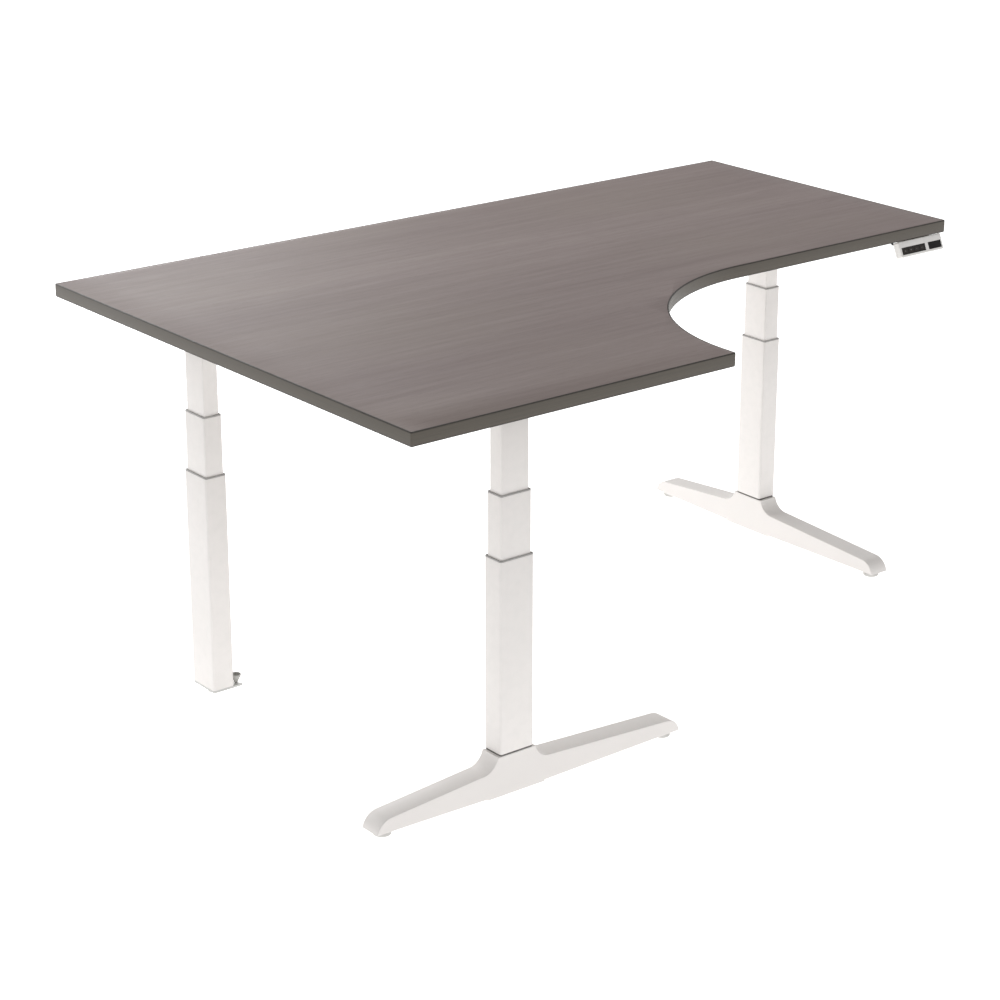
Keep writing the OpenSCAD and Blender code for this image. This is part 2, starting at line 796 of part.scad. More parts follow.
cord_funnel();
foot_glide(front_leg, 0);  // front_foot_left_glide
foot_glide(front_leg, 1);  // front_foot_right_glide
foot_glide(right_leg, 1);  // right_foot_front_glide
foot_glide(right_leg, 0);  // right_foot_back_glide
corner_glide();
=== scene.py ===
"""Looks of the height adjustable L-shaped desk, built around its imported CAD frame.

All lengths are in metres, in the frame of the CAD part: +X along the back edge, +Y to the back.
"""

import math

import bmesh
import bpy
from mathutils import Matrix, Vector


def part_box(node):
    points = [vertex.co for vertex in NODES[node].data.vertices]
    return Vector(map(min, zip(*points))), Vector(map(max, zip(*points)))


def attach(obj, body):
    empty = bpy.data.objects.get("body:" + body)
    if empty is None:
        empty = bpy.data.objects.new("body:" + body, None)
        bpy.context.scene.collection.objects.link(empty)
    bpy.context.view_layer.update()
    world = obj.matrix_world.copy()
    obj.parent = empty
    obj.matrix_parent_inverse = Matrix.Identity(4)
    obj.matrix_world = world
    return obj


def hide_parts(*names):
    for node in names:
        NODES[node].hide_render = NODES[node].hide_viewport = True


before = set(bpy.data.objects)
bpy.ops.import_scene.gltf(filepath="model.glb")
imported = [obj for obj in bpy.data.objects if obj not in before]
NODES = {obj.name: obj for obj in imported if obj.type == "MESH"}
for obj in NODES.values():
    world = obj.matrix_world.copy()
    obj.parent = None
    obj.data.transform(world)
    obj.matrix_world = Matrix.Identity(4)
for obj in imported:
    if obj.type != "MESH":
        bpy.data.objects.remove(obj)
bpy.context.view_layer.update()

# ------------------------------------------------------------ sizes the frame's boxes don't give

SIDE_DEPTH = 0.768          # depth of the desk's right-hand side
RETURN_WIDTH = 0.760
CURVE_RADIUS = 0.433        # inner corner
CURVE_STEPS = 96
SHEET = 0.0008              # laminate on the board's top and underside
GRID = 0.093                # cells of the board's large faces

TUBE = (0.080, 0.050)       # outer tube's section
TUBE_ROUND = 0.005
TUBE_STEP = 0.0036          # from one tube's face to the next one's
ROUND_STEP = 0.0008
TUBE_WALL = 0.0017
SLIP = 0.0004

HUB_SWEEP = 0.038           # foot: sweep from the hub into the arms
ARM_TOP = 0.059
NOSE_RADIUS = 0.037
TIP_Z = 0.012
ARM_Z = 0.007
PAD_X = 0.070

SET_SIZE = (0.134, 0.036)   # handset's face
SET_ROUND = 0.0035
SHELL_DEPTH = 0.012
SET_TILT = math.radians(23)
WINDOW_Z = -0.0226
WINDOW_H = 0.0165
KEY_FIRST = 0.0105          # first key's middle, from the keypad's edge
KEY_STEP = 0.0178

CABLE_RADIUS = 0.0025
BEND = 0.011                # a cable's bend, from corner to arc's end
RAIL_DEPTH = 0.040
MOTOR_CAP_IN = 0.003        # end cap's radius, less than the can's
BROKEN_ANGLE = 38           # edges sharper than this are broken, in degrees
DRILL = 0.001               # a cutter's reach past the face that it opens

# ------------------------------------------------------------ materials


def linear(r, g, b):
    """A colour given as 0 to 255 screen values, as Blender's linear colour."""

    def one(c):
        c /= 255
        return c / 12.92 if c <= 0.04045 else ((c + 0.055) / 1.055) ** 2.4

    return (one(r), one(g), one(b), 1.0)


class Surface:
    """A material's node tree, with short calls for the nodes that the materials share."""

    def __init__(self, name, roughness=0.5, metallic=0.0, **sockets):
        self.material = bpy.data.materials.new(name)
        self.material.use_nodes = True
        self.tree = self.material.node_tree
        self.shader = self.tree.nodes["Principled BSDF"]
        self.shader.inputs["Roughness"].default_value = roughness
        self.shader.inputs["Metallic"].default_value = metallic
        for socket, value in sockets.items():
            self.shader.inputs[socket.replace("_", " ")].default_value = value
        self.place = self.node("ShaderNodeTexCoord").outputs["Object"]
        self.height = None

    def node(self, kind, **values):
        made = self.tree.nodes.new(kind)
        for key, value in values.items():
            setattr(made, key, value)
        return made

    def feed(self, target, value):
        if isinstance(value, bpy.types.NodeSocket):
            self.tree.links.new(value, target)
        else:
            target.default_value = value

    def stretched(self, scale, turn=(0, 0, 0)):
        """The place on the object, scaled along each axis."""
        mapping = self.node("ShaderNodeMapping")
        self.feed(mapping.inputs["Vector"], self.place)
        mapping.inputs["Scale"].default_value = scale
        mapping.inputs["Rotation"].default_value = turn
        return mapping.outputs["Vector"]

    def noise(self, scale, detail=3.0, rough=0.5, stretch=(1, 1, 1), bend=0.0):
        made = self.node("ShaderNodeTexNoise")
        self.feed(made.inputs["Vector"], self.stretched(stretch))
        made.inputs["Scale"].default_value = scale
        made.inputs["Detail"].default_value = detail
        made.inputs["Roughness"].default_value = rough
        made.inputs["Distortion"].default_value = bend
        return made.outputs["Fac"]

    def span(self, value, low, high, to_low=0.0, to_high=1.0):
        made = self.node("ShaderNodeMapRange", clamp=True)
        self.feed(made.inputs["Value"], value)
        made.inputs["From Min"].default_value = low
        made.inputs["From Max"].default_value = high
        made.inputs["To Min"].default_value = to_low
        made.inputs["To Max"].default_value = to_high
        return made.outputs["Result"]

    def math(self, operation, first, second=0.0):
        made = self.node("ShaderNodeMath", operation=operation)
        self.feed(made.inputs[0], first)
        self.feed(made.inputs[1], second)
        return made.outputs[0]

    def ramp(self, value, stops):
        made = self.node("ShaderNodeValToRGB")
        elements = made.color_ramp.elements
        while len(elements) < len(stops):
            elements.new(0.5)
        for element, (at, colour) in zip(elements, stops):
            element.position = at
            element.color = colour
        self.feed(made.inputs["Fac"], value)
        return made.outputs["Color"]

    def mix(self, fac, first, second, blend="MIX"):
        made = self.node("ShaderNodeMix", data_type="RGBA", blend_type=blend)
        self.feed(made.inputs["Factor"], fac)
        self.feed(made.inputs["A"], first)
        self.feed(made.inputs["B"], second)
        return made.outputs["Result"]

    def colour(self, value):
        self.feed(self.shader.inputs["Base Color"], value)

    def roughness(self, value):
        self.feed(self.shader.inputs["Roughness"], value)

    def bump(self, value, strength, distance):
        """Adds a bump on top of the ones before it."""
        made = self.node("ShaderNodeBump")
        made.inputs["Strength"].default_value = strength
        made.inputs["Distance"].default_value = distance
        self.feed(made.inputs["Height"], value)
        if self.height is not None:
            self.feed(made.inputs["Normal"], self.height)
        self.height = made.outputs["Normal"]
        self.feed(self.shader.inputs["Normal"], self.height)

    def edge_wear(self, base, worn, low=0.52, high=0.60):
        """base, with the worn colour on sharp outer edges."""
        pointed = self.node("ShaderNodeNewGeometry").outputs["Pointiness"]
        patchy = self.noise(60.0, 3.0)
        amount = self.math("MULTIPLY", self.span(pointed, low, high), self.span(patchy, 0.4, 0.7))
        return self.mix(amount, base, worn)


def woodgrain(surface, tones):
    """Grain along X: broad bands, streaks a hand long, and fine short pores."""
    bands = surface.noise(1.0, 3.0, 0.55, (0.55, 5.5, 1.0), 0.35)
    streaks = surface.noise(1.0, 6.0, 0.62, (3.2, 62.0, 40.0), 0.25)
    threads = surface.noise(1.0, 4.0, 0.6, (9.0, 330.0, 200.0), 0.1)
    pores = surface.noise(1.0, 2.0, 0.5, (34.0, 900.0, 500.0))
    broad = surface.math("MULTIPLY", bands, 0.44)
    narrow = surface.math("MULTIPLY", streaks, 0.36)
    fine = surface.math("MULTIPLY", threads, 0.20)
    whole = surface.math("ADD", surface.math("ADD", broad, narrow), fine)
    colour = surface.ramp(whole, [(0.36, tones[0]), (0.47, tones[1]), (0.56, tones[2]), (0.66, tones[3])])
    dark = surface.span(pores, 0.56, 0.70)
    colour = surface.mix(surface.math("MULTIPLY", dark, 0.34), colour, tones[4])
    return colour, threads, pores


def laminate_material():
    made = Surface("grey_oak_laminate", roughness=0.60, Specular_IOR_Level=0.36)
    tones = [linear(127, 112, 110), linear(135, 121, 118), linear(142, 128, 125), linear(151, 138, 134),
             linear(99, 86, 83)]
    colour, threads, pores = woodgrain(made, tones)
    tint = made.noise(1.6, 2.0, 0.5, (1.0, 1.6, 1.0))
    warm = made.mix(made.span(tint, 0.35, 0.65, 0.0, 0.2), colour, linear(146, 136, 125))
    made.colour(warm)
    made.roughness(made.span(threads, 0.3, 0.7, 0.54, 0.66))
    made.bump(threads, 0.25, 0.00012)
    made.bump(pores, 0.20, 0.00006)
    return made.material


def backer_material():
    made = Surface("board_underside", roughness=0.6)
    flecks = made.noise(420.0, 3.0)
    cloudy = made.noise(7.0, 3.0)
    amount = made.span(flecks, 0.35, 0.7, 0.0, 0.5)
    made.colour(made.mix(amount, linear(116, 109, 102), linear(132, 125, 117)))
    made.roughness(made.span(cloudy, 0.3, 0.7, 0.52, 0.68))
    made.bump(flecks, 0.2, 0.00005)
    return made.material


def edge_material():
    """The edge strip's own brown, with a faint long grain."""
    made = Surface("edge_strip", roughness=0.45)
    long_grain = made.noise(1.0, 4.0, 0.55, (5.0, 5.0, 420.0))
    cloudy = made.noise(9.0, 3.0)
    side = made.mix(made.span(long_grain, 0.35, 0.68), linear(72, 66, 57), linear(83, 76, 66))
    side = made.mix(made.span(cloudy, 0.3, 0.7, 0.0, 0.3), side, linear(77, 71, 62))
    made.colour(side)
    made.roughness(made.span(long_grain, 0.3, 0.7, 0.40, 0.52))
    made.bump(long_grain, 0.2, 0.00006)
    return made.material


def arris_shade_material():
    """The strip's rounded rims, darker than the strip: painted shade along the rims."""
    made = Surface("edge_strip_rim_painted_shade", roughness=0.5)
    grain = made.noise(160.0, 3.0)
    # the two dark browns are painted shade on the rims; the grain only varies them
    made.colour(made.mix(made.span(grain, 0.35, 0.7), linear(50, 45, 39), linear(63, 57, 50)))
    made.roughness(made.span(grain, 0.3, 0.7, 0.42, 0.58))
    made.bump(grain, 0.15, 0.00004)
    return made.material


def powder_material(name, tone, shade, worn):
    """Powder coat: a fine orange peel, faint clouding and slightly thin edges."""
    made = Surface(name, roughness=0.42, Coat_Weight=0.08, Coat_Roughness=0.3)
    peel = made.noise(620.0, 2.0, 0.45)
    cloudy = made.noise(4.5, 3.0)
    base = made.mix(made.span(cloudy, 0.35, 0.65), tone, shade)
    made.colour(made.edge_wear(base, worn))
    made.roughness(made.span(made.noise(38.0, 3.0), 0.3, 0.7, 0.36, 0.48))
    made.bump(peel, 0.22, 0.00010)
    return made.material


def plastic_material(name, tone, shade, grain=900.0, roughness=(0.45, 0.6), depth=0.00006, **sockets):
    """Moulded plastic with a spark-eroded texture."""
    made = Surface(name, **sockets)
    fine = made.noise(grain, 2.0, 0.6)
    cloudy = made.noise(22.0, 3.0)
    base = made.mix(made.span(cloudy, 0.3, 0.7), tone, shade)
    made.colour(made.edge_wear(base, made_lighter(shade), 0.54, 0.64))
    made.roughness(made.span(fine, 0.3, 0.7, *roughness))
    made.bump(fine, 0.3, depth)
    return made.material


def made_lighter(colour, share=0.12):
    return tuple(c + (1 - c) * share for c in colour[:3]) + (1.0,)


def gloss_material(name, tone, roughness):
    """A polished window with faint smears."""
    made = Surface(name, roughness=roughness, Specular_IOR_Level=0.22)
    smears = made.noise(46.0, 4.0, 0.6, (1.0, 1.0, 2.6), 0.6)
    made.colour(made.mix(made.span(smears, 0.3, 0.8, 0.0, 0.3), tone, made_lighter(tone, 0.03)))
    made.roughness(made.span(smears, 0.4, 0.75, roughness, roughness + 0.12))
    return made.material


def steel_material(name, tone, shade, metallic, roughness, stretch=(1, 1, 1), grain=260.0):
    """Plated or turned metal, its fine lines running across the stretched axis."""
    made = Surface(name, metallic=metallic)
    lines = made.noise(grain, 4.0, 0.6, stretch)
    cloudy = made.noise(16.0, 3.0)
    made.colour(made.mix(made.span(cloudy, 0.3, 0.7), tone, shade))
    made.roughness(made.span(lines, 0.3, 0.7, *roughness))
    made.bump(lines, 0.2, 0.00004)
    return made.material


def casting_material():
    made = Surface("dark_casting", roughness=0.55, metallic=0.3)
    pits = made.noise(330.0, 4.0, 0.7)
    cloudy = made.noise(14.0, 3.0)
    base = made.mix(made.span(cloudy, 0.3, 0.7), linear(72, 72, 74), linear(88, 88, 90))
    made.colour(made.edge_wear(base, linear(140, 140, 142)))
    made.roughness(made.span(pits, 0.3, 0.7, 0.45, 0.65))
    made.bump(pits, 0.35, 0.00015)
    return made.material


MAKE = {
    "laminate": laminate_material,
    "backer": backer_material,
    "edge": edge_material,
    "arris": arris_shade_material,
    "powder": lambda: powder_material("white_powder_coat", linear(232, 228, 225), linear(229, 225, 222),
                                      linear(222, 219, 216)),
    "frame": lambda: powder_material("frame_powder_coat", linear(232, 231, 229), linear(226, 225, 223),
                                     linear(205, 204, 203)),
    "collar": lambda: plastic_material("grey_nylon", linear(164, 162, 160), linear(156, 154, 152)),
    "clip": lambda: plastic_material("clip_nylon", linear(222, 221, 218), linear(214, 213, 210)),
    "dark_plastic": lambda: plastic_material("dark_abs", linear(42, 42, 44), linear(48, 48, 50), 700.0),
    "motor": lambda: powder_material("motor_paint", linear(40, 40, 42), linear(46, 46, 48),
                                     linear(90, 90, 92)),
    "casting": casting_material,
    "silver": lambda: plastic_material("silver_paint", linear(226, 224, 221), linear(220, 218, 215), 1400.0,
                                       (0.32, 0.42), 0.00002, metallic=0.15),
    "display": lambda: gloss_material("display_window", linear(6, 5, 5), 0.12),
    "keypad": lambda: gloss_material("keypad_film", linear(36, 32, 29), 0.34),
    "key": lambda: plastic_material("key_caps", linear(40, 36, 33), linear(45, 40, 37), 1600.0,
                                    (0.5, 0.62), 0.00002, Specular_IOR_Level=0.3),
    "symbol": lambda: plastic_material("key_symbols", linear(92, 88, 84), linear(86, 82, 78), 1600.0,
                                       (0.5, 0.6), 0.00001),
    "zinc": lambda: steel_material("zinc_plate", linear(186, 187, 190), linear(168, 170, 174), 0.95,
                                   (0.28, 0.46)),
    "spindle": lambda: steel_material("spindle_steel", linear(176, 177, 180), linear(150, 151, 155), 1.0,
                                      (0.2, 0.42), (1, 1, 9)),
    "bronze": lambda: steel_material("turned_bronze", linear(198, 166, 106), linear(176, 142, 84), 0.9,
                                     (0.28, 0.45), (1, 1, 8)),
    "glide": lambda: plastic_material("glide_nylon", linear(206, 205, 202), linear(196, 195, 192), 500.0,
                                      (0.5, 0.65)),
    "seal": lambda: plastic_material("foot_seal", linear(86, 83, 80), linear(78, 75, 72), 500.0,
                                     (0.7, 0.85)),
    "base": lambda: powder_material("base_paint", linear(208, 208, 205), linear(200, 200, 197),
                                    linear(186, 186, 184)),
    "funnel": lambda: plastic_material("funnel_nylon", linear(178, 177, 173), linear(168, 167, 163), 600.0),
    "black_rubber": lambda: plastic_material("black_rubber", linear(26, 26, 27), linear(32, 32, 33), 500.0,
                                             (0.6, 0.78)),
    "cable": lambda: plastic_material("cable_sheath", linear(24, 24, 25), linear(30, 30, 31), 1200.0,
                                      (0.42, 0.56)),
}
made_materials = {}


def material(name):
    if name not in made_materials:
        made_materials[name] = MAKE[name]()
    return made_materials[name]


# ------------------------------------------------------------ outlines and sections


def arc(centre, radius, start, end, steps):
    """Points from one angle to the other, both in degrees, ends included."""
    turn = [math.radians(start + (end - start) * i / steps) for i in range(steps + 1)]
    return [(centre[0] + radius * math.cos(a), centre[1] + radius * math.sin(a)) for a in turn]


def round_rect(width, depth, radius, steps=6, at=(0.0, 0.0)):
    """A rectangle with rounded corners, anticlockwise."""
    x, y = width / 2 - radius, depth / 2 - radius
    corners = [((x, y), 0), ((-x, y), 90), ((-x, -y), 180), ((x, -y), 270)]
    points = [p for c, start in corners for p in arc(c, radius, start, start + 90, steps)]
    return [(px + at[0], py + at[1]) for px, py in points]


def rounded(points, radius, steps=4):
    """An outline with each sharp corner rounded, where radius is one number or one per corner."""
    out = []
    count = len(points)
    for i, point in enumerate(points):
        r = radius[i] if isinstance(radius, (list, tuple)) else radius
        here = Vector(point)
        before = Vector(points[i - 1]) - here
        after = Vector(points[(i + 1) % count]) - here
        turn = before.angle(after, math.pi) if min(before.length, after.length) > 1e-9 else math.pi
        if r <= 0 or turn > math.radians(175):
            out.append(tuple(here))
            continue
        reach = min(r / math.tan(turn / 2), before.length * 0.49, after.length * 0.49)
        first, last = here + before.normalized() * reach, here + after.normalized() * reach
        for k in range(steps + 1):
            t = k / steps
            out.append(tuple(first * (1 - t) ** 2 + here * 2 * t * (1 - t) + last * t * t))
    return out


def inset(points, distance):
    """The anticlockwise outline moved inwards by a distance."""
    if abs(distance) < 1e-9:
        return list(points)
    out = []
    for i, point in enumerate(points):
        here = Vector(point)
        along_in = (here - Vector(points[i - 1])).normalized()
        along_out = (Vector(points[(i + 1) % len(points)]) - here).normalized()
        middle = along_in + along_out
        if middle.length < 1e-6:
            middle = along_in
        middle.normalize()
        normal = Vector((-middle.y, middle.x))
        stretch = max(0.3, normal.dot(Vector((-along_in.y, along_in.x))))
        out.append(tuple(here + normal * distance / stretch))
    return out


def edge_section(low, high, radius, steps=3):
    """(inset, height) pairs up the outside of a prism with rounded rims."""
    quarter = [math.pi / 2 * k / steps for k in range(steps + 1)]
    up = [(radius * (1 - math.sin(a)), low + radius * (1 - math.cos(a))) for a in quarter]
    return up + [(i, low + high - z) for i, z in reversed(up)]


def wall_section(low, high, thickness, radius, steps=2):
    """(inset, height) pairs all round the wall of a tube or ring."""
    outer = edge_section(low, high, radius, steps)
    inner = [(thickness - i, z) for i, z in reversed(outer)]
    return outer + inner


# ------------------------------------------------------------ meshes


def finish_mesh(name, bm, finish, smooth_angle=35):
    """Turns a bmesh into an object with sharp edges kept and the rest smooth."""
    bmesh.ops.remove_doubles(bm, verts=bm.verts, dist=1e-6)
    bmesh.ops.recalc_face_normals(bm, faces=bm.faces)
    mesh = bpy.data.meshes.new(name)
    bm.to_mesh(mesh)
    bm.free()
    mesh.materials.append(material(finish))
    shade(mesh, smooth_angle)
    made = bpy.data.objects.new(name, mesh)
    bpy.context.scene.collection.objects.link(made)
    return made


def shade(mesh, smooth_angle):
    """Smooth shading between sharp edges, with the large flat caps kept flat."""
    mesh.shade_smooth()
    mesh.set_sharp_from_angle(angle=math.radians(smooth_angle))
    for face in mesh.polygons:
        if face.loop_total > 8:
            face.use_smooth = False


def stacked(outline, section, place, closed):
    """A bmesh of the outline at each (inset, height) of the section, joined up.

    place puts (u, v, w) in space; closed joins the last ring to the first, as round a tube's wall.
    """
    bm = bmesh.new()
    rings = []
    for distance, height in section:
        ring = [bm.verts.new(place(u, v, height)) for u, v in inset(outline, distance)]
        rings.append(ring)
    pairs = list(zip(rings, rings[1:]))
    if closed:
        pairs.append((rings[-1], rings[0]))
    for low, high in pairs:
        for i in range(len(low)):
            j = (i + 1) % len(low)
            bm.faces.new((low[i], low[j], high[j], high[i]))
    if not closed:
        bm.faces.new(list(reversed(rings[0])))
        bm.faces.new(rings[-1])
    return bm


def upright(u, v, w):
    return Vector((u, v, w))


def gridded(bm, low, high, step):
    """Splits a wide flat board into cells, so that its large faces are drawn without slivers."""
    for axis in (0, 1):
        normal = Vector((1 - axis, axis, 0))
        for i in range(1, math.ceil((high[axis] - low[axis]) / step)):
            cut = normal * (low[axis] + i * step)
            parts = list(bm.verts) + list(bm.edges) + list(bm.faces)
            bmesh.ops.bisect_plane(bm, geom=parts, dist=1e-7, plane_co=cut, plane_no=normal)
    wide = [face for face in bm.faces if len(face.verts) > 4]
    bmesh.ops.triangulate(bm, faces=wide, quad_method="BEAUTY", ngon_method="EAR_CLIP")
    return bm


def turned_bmesh(profile, place, steps=48):
    """A bmesh of a profile of (radius, height) points turned about w."""
    bm = bmesh.new()
    rings = []
    for radius, height in profile:
        if radius < 1e-7:
            rings.append([bm.verts.new(place(0, 0, height))])
        else:
            rings.append([
                bm.verts.new(place(radius * math.cos(2 * math.pi * i / steps),
                                   radius * math.sin(2 * math.pi * i / steps), height))
                for i in range(steps)
            ])
    for low, high in zip(rings, rings[1:]):
        for i in range(steps):
            j = (i + 1) % steps
            if len(low) == 1 and len(high) == 1:
                continue
            if len(low) == 1:
                bm.faces.new((low[0], high[j], high[i]))
            elif len(high) == 1:
                bm.faces.new((low[i], low[j], high[0]))
            else:
                bm.faces.new((low[i], low[j], high[j], high[i]))
    for ring, flip in ((rings[0], True), (rings[-1], False)):
        if len(ring) > 1:
            bm.faces.new(list(reversed(ring)) if flip else ring)
    return bm


def on_axis(origin, direction):
    """place() for a piece whose w axis runs along a direction from an origin."""
    turn = Vector((0, 0, 1)).rotation_difference(Vector(direction)).to_matrix().to_4x4()
    matrix = Matrix.Translation(Vector(origin)) @ turn
    return lambda u, v, w: matrix @ Vector((u, v, w))


def merged(name, parts, finish, smooth_angle=35):
    """One object of several bmeshes."""
    whole = bmesh.new()
    for part in parts:
        scratch = bpy.data.meshes.new("scratch")
        part.to_mesh(scratch)
        part.free()
        whole.from_mesh(scratch)
        bpy.data.meshes.remove(scratch)
    return finish_mesh(name, whole, finish, smooth_angle)


def cut_out(target, cutters):
    """Takes the cutters' shapes out of the target, for good."""
    for cutter in cutters:
        boolean = target.modifiers.new("cut", "BOOLEAN")
        boolean.operation = "DIFFERENCE"
        boolean.solver = "EXACT"
        boolean.object = cutter
        apply_modifiers(target)
        bpy.data.objects.remove(cutter)
    return target


def apply_modifiers(target):
    bpy.context.view_layer.update()
    graph = bpy.context.evaluated_depsgraph_get()
    mesh = bpy.data.meshes.new_from_object(target.evaluated_get(graph))
    target.modifiers.clear()
    old = target.data
    target.data = mesh
    bpy.data.meshes.remove(old)


def show(piece, body, slot_name, *nodes):
    """The piece rides on a body and stands for CAD nodes; slot_name is not used."""
    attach(piece, body)
    if nodes:
        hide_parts(*nodes)
    return piece


def softened(node, body, slot_name, finish, width, segments=2):
    """A CAD node's own shape with its edges broken by a small radius."""
    mesh = NODES[node].data.copy()
    made = bpy.data.objects.new(node + "_shell", mesh)
    bpy.context.scene.collection.objects.link(made)
    bm = bmesh.new()
    bm.from_mesh(mesh)
    bmesh.ops.remove_doubles(bm, verts=bm.verts, dist=1e-6)
    bmesh.ops.dissolve_limit(bm, angle_limit=math.radians(1), verts=bm.verts, edges=bm.edges)
    bm.to_mesh(mesh)
    bm.free()
    mesh.materials.clear()
    mesh.materials.append(material(finish))
    bevel = made.modifiers.new("broken_edges", "BEVEL")
    bevel.width = width
    bevel.segments = segments
    bevel.limit_method = "ANGLE"
    bevel.angle_limit = math.radians(BROKEN_ANGLE)
    bevel.use_clamp_overlap = True
    apply_modifiers(made)
    shade(made.data, 30)
    return show(made, body, slot_name, node)


def painted(node, finish):
    """A CAD node that keeps its shape and gets a finish."""
    mesh = NODES[node].data
    mesh.materials.clear()
    mesh.materials.append(material(finish))
    shade(mesh, 30)


# ------------------------------------------------------------ desktop

band_low, band_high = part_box("edge_band")
board_low, board_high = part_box("desktop_board")
BAND = board_low.x - band_low.x
UNDER = band_low.z
TOP = band_high.z


def desktop_outline():
    """The desk from above, anticlockwise from its front left corner."""
    left, right, front, back = band_low.x, band_high.x, band_low.y, band_high.y
    side_front = back - SIDE_DEPTH
    inner = left + RETURN_WIDTH
    centre = (inner + CURVE_RADIUS, side_front - CURVE_RADIUS)
    corner = BAND + 0.0005
    points = [(left, front), (inner, front)]
    points += arc(centre, CURVE_RADIUS, 180, 90, CURVE_STEPS)
    points += [(right, side_front), (right, back), (left, back)]
    radii = [corner] * 2 + [0] * (CURVE_STEPS + 1) + [corner] * 3
    return rounded(points, radii)


def desktop():
    outline = desktop_outline()
    inner = inset(outline, BAND)
    core = stacked(inner, edge_section(UNDER, TOP - SHEET, 0.0001, 1), upright, False)
    core = gridded(core, band_low, band_high, GRID)
    show(finish_mesh("board_core", core, "backer"), "desk", "top_laminate", "desktop_board")
    sheet = stacked(inner, edge_section(TOP - SHEET, TOP, 0.0002, 2), upright, False)
    sheet = gridded(sheet, band_low, band_high, GRID)
    show(finish_mesh("laminate_top", sheet, "laminate"), "desk", "top_laminate")

    arris = 0.0024
    band = stacked(outline, wall_section(UNDER, TOP, BAND, arris, 4), upright, True)
    band = finish_mesh("edge_strip", band, "edge", 50)
    # faces on the rims take the arris finish, a darker brown that is painted shade
    band.data.materials.append(material("arris"))
    for face in band.data.polygons:
        rim = min(abs(face.center.z - UNDER), abs(face.center.z - TOP)) < arris * 1.02
        if rim:
            face.material_index = 1
    show(band, "desk", "edge_laminate", "edge_band")


desktop()

# ------------------------------------------------------------ legs

# each leg, and whether it stands across the desk, with its long side along Y
LEGS = {
    "corner": True,
    "right": True,
    "front": False,
}


def leg_axis(leg):
    low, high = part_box(leg + "_spindle")
    return (low + high) / 2


def leg_place(leg):
    """place() of a leg: local +X is the foot's long arm."""
    axis = leg_axis(leg)
    if LEGS[leg]:
        return lambda u, v, w: Vector((axis.x + v, axis.y - u, w))
    return lambda u, v, w: Vector((axis.x + u, axis.y + v, w))


def tube_outline(number, steps=8):
    """Section of tube 0, 1 or 2, from the outside in."""
    shrink = 2 * number * TUBE_STEP
    return round_rect(TUBE[0] - shrink, TUBE[1] - shrink, TUBE_ROUND - number * ROUND_STEP, steps)


def telescope(leg):
    place = leg_place(leg)
    for number, part, body in ((0, "outer", leg + "_base"), (1, "mid", leg + "_mid"), (2, "inner", "desk")):
        node = f"{leg}_{part}_tube"
        low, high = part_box(node)
        wall = wall_section(low.z, high.z, TUBE_WALL, 0.0005)
        tube = finish_mesh(node + "_skin", stacked(tube_outline(number), wall, place, True), "powder", 25)
        show(tube, body, "white_powder", node)
        if number < 2:
            collar(leg, number, part, body, place)


def collar(leg, number, part, body, place):
    """The grey ring on a tube's mouth, with its guide sleeve below."""
    node = f"{leg}_{part}_collar"
    low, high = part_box(node)
    tube_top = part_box(f"{leg}_{part}_tube")[1].z
    opening = TUBE_STEP - SLIP
    radius = 0.0011
    ring = wall_section(tube_top, high.z, opening, radius, 3)
    sleeve_in = TUBE_WALL + 0.0001
    sleeve = wall_section(low.z, tube_top + 0.0002, opening - sleeve_in, 0.0004)
    outline = tube_outline(number)
    parts = [stacked(outline, ring, place, True), stacked(inset(outline, sleeve_in), sleeve, place, True)]
    show(merged(node + "_ring", parts, "collar", 30), body, "grey_plastic", node)


def spindle(leg):
    """The lifting screw: a two-start trapezoid thread, a plain neck and the gear wheel."""
    node = leg + "_spindle"
    axis = leg_axis(leg)
    low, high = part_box(node)
    wheel_r = (high.x - low.x) / 2
    screw_r = 0.006
    root_r = 0.0049
    neck = high.z - 0.075
    starts, lead, steps = 2, 0.010, 24
    rise = 0.00125
    rows = int((neck - low.z) / rise)
    bm = bmesh.new()
    rings = []
    for row in range(rows + 1):
        z = low.z + row * rise
        ring = []
        for i in range(steps):
            phase = (starts * (z / lead - i / steps)) % 1
            tooth = min(1, max(0, (abs(phase - 0.5) - 0.14) / 0.22))
            fade = min(1, row / 4, (rows - row) / 4)
            radius = screw_r - (screw_r - root_r) * (1 - tooth) * fade
            turn = 2 * math.pi * i / steps
            ring.append(bm.verts.new((axis.x + radius * math.cos(turn), axis.y + radius * math.sin(turn), z)))
        rings.append(ring)
    for below, above in zip(rings, rings[1:]):
        for i in range(steps):
            j = (i + 1) % steps
            bm.faces.new((below[i], below[j], above[j], above[i]))
    bm.faces.new(list(reversed(rings[0])))
    bm.faces.new(rings[-1])
    top_of_screw = low.z + rows * rise
    wheel_low = high.z - 0.016
    wheel = [(0, top_of_screw - 0.001), (screw_r, top_of_screw - 0.001), (screw_r, wheel_low),
             (wheel_r - 0.001, wheel_low), (wheel_r, wheel_low + 0.001), (wheel_r, wheel_low + 0.011),
             (wheel_r - 0.001, wheel_low + 0.012), (screw_r, wheel_low + 0.012), (screw_r, high.z - 0.0005),
             (screw_r - 0.0005, high.z), (0, high.z)]
    parts = [bm, turned_bmesh(wheel, on_axis((axis.x, axis.y, 0), (0, 0, 1)))]
    show(merged(node + "_screw", parts, "spindle", 30), node, "zinc_steel", node)


